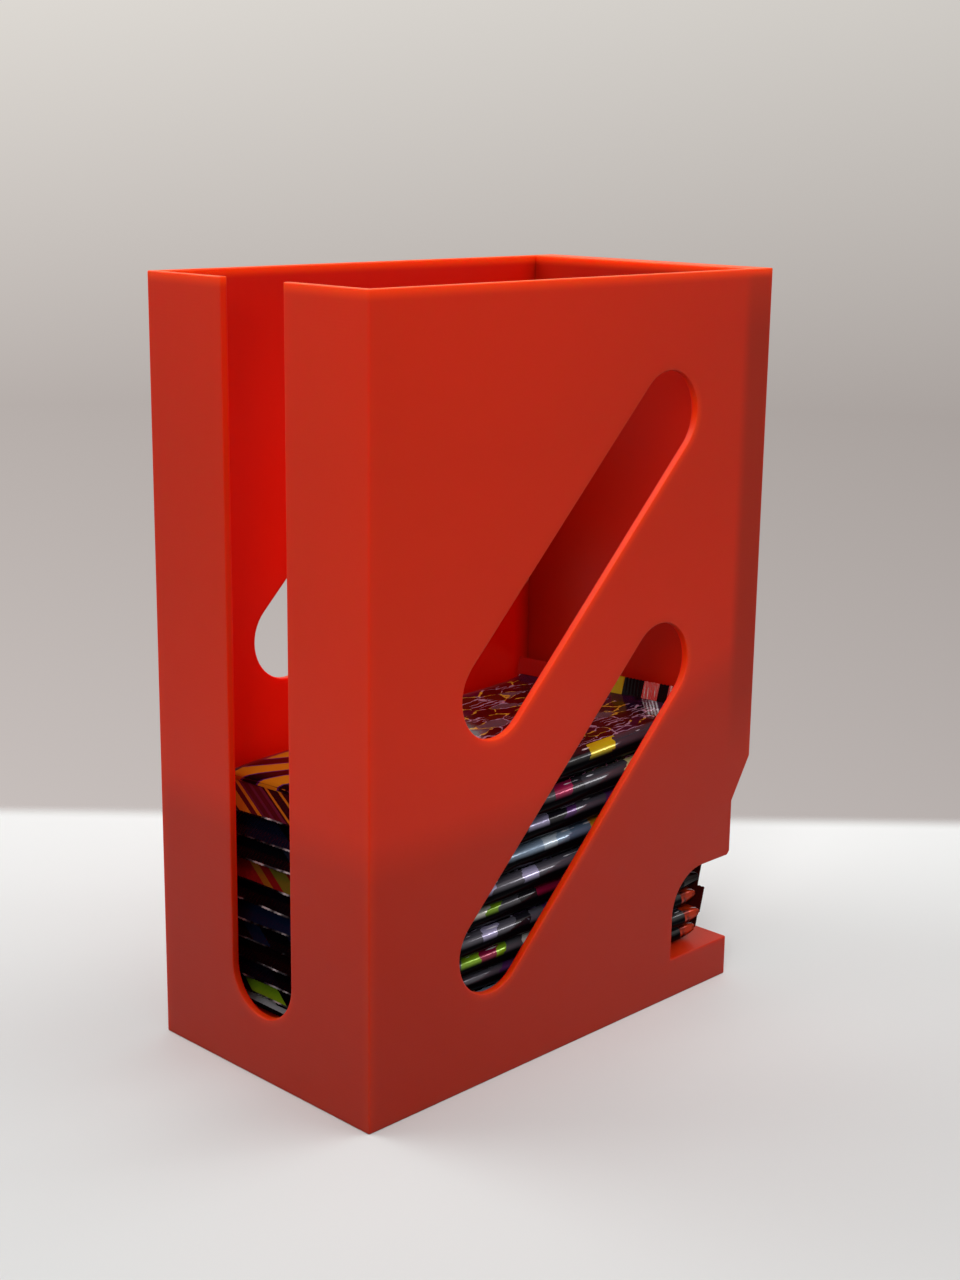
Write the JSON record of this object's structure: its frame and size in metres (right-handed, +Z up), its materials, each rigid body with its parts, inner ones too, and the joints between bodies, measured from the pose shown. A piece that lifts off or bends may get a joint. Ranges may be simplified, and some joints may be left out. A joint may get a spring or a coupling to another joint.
{
  "type": "booster pack organizer",
  "caption": "Open-topped printed dispenser that holds sealed foil card packs in a flat stack, with diagonal view slots, an open back slot and a front mouth where the lowest pack slides out.",
  "frame": {"origin": "centre of the bounding box at the underside of the base", "axes": "+X towards the front mouth, +Y across the body, +Z up"},
  "size_m": [0.14, 0.077, 0.1925],
  "materials": {
    "printed_plastic": "satin orange-red print with fine layer lines",
    "foil_film": "glossy dark printed film",
    "card_stock": "smooth card"
  },
  "bodies": {
    "dispenser": {"dispenser_body": "printed_plastic"},
    "pack_01": {"pack_01_wrapper": "foil_film", "pack_01_cards": "card_stock"},
    "pack_02": {"pack_02_wrapper": "foil_film", "pack_02_cards": "card_stock"},
    "pack_03": {"pack_03_wrapper": "foil_film", "pack_03_cards": "card_stock"},
    "pack_04": {"pack_04_wrapper": "foil_film", "pack_04_cards": "card_stock"},
    "pack_05": {"pack_05_wrapper": "foil_film", "pack_05_cards": "card_stock"},
    "pack_06": {"pack_06_wrapper": "foil_film", "pack_06_cards": "card_stock"},
    "pack_07": {"pack_07_wrapper": "foil_film", "pack_07_cards": "card_stock"},
    "pack_08": {"pack_08_wrapper": "foil_film", "pack_08_cards": "card_stock"},
    "pack_09": {"pack_09_wrapper": "foil_film", "pack_09_cards": "card_stock"},
    "pack_10": {"pack_10_wrapper": "foil_film", "pack_10_cards": "card_stock"},
    "pack_11": {"pack_11_wrapper": "foil_film", "pack_11_cards": "card_stock"}
  },
  "joints": [
    {"name": "pack_03_pull", "type": "slide", "parent": "dispenser", "child": "pack_03", "axis": [1, 0, 0], "range_m": [0, 0.14]},
    {"name": "pack_02_pull", "type": "slide", "parent": "pack_03", "child": "pack_02", "axis": [1, 0, 0], "range_m": [0, 0.14]},
    {"name": "pack_01_pull", "type": "slide", "parent": "pack_02", "child": "pack_01", "axis": [1, 0, 0], "range_m": [0, 0.14]},
    {"name": "pack_04_lift", "type": "slide", "parent": "dispenser", "child": "pack_04", "axis": [0, 0, 1], "range_m": [0, 0.172]},
    {"name": "pack_05_lift", "type": "slide", "parent": "pack_04", "child": "pack_05", "axis": [0, 0, 1], "range_m": [0, 0.167]},
    {"name": "pack_06_lift", "type": "slide", "parent": "pack_05", "child": "pack_06", "axis": [0, 0, 1], "range_m": [0, 0.161]},
    {"name": "pack_07_lift", "type": "slide", "parent": "pack_06", "child": "pack_07", "axis": [0, 0, 1], "range_m": [0, 0.156]},
    {"name": "pack_08_lift", "type": "slide", "parent": "pack_07", "child": "pack_08", "axis": [0, 0, 1], "range_m": [0, 0.15]},
    {"name": "pack_09_lift", "type": "slide", "parent": "pack_08", "child": "pack_09", "axis": [0, 0, 1], "range_m": [0, 0.144]},
    {"name": "pack_10_lift", "type": "slide", "parent": "pack_09", "child": "pack_10", "axis": [0, 0, 1], "range_m": [0, 0.138]},
    {"name": "pack_11_lift", "type": "slide", "parent": "pack_10", "child": "pack_11", "axis": [0, 0, 1], "range_m": [0, 0.132]}
  ]
}
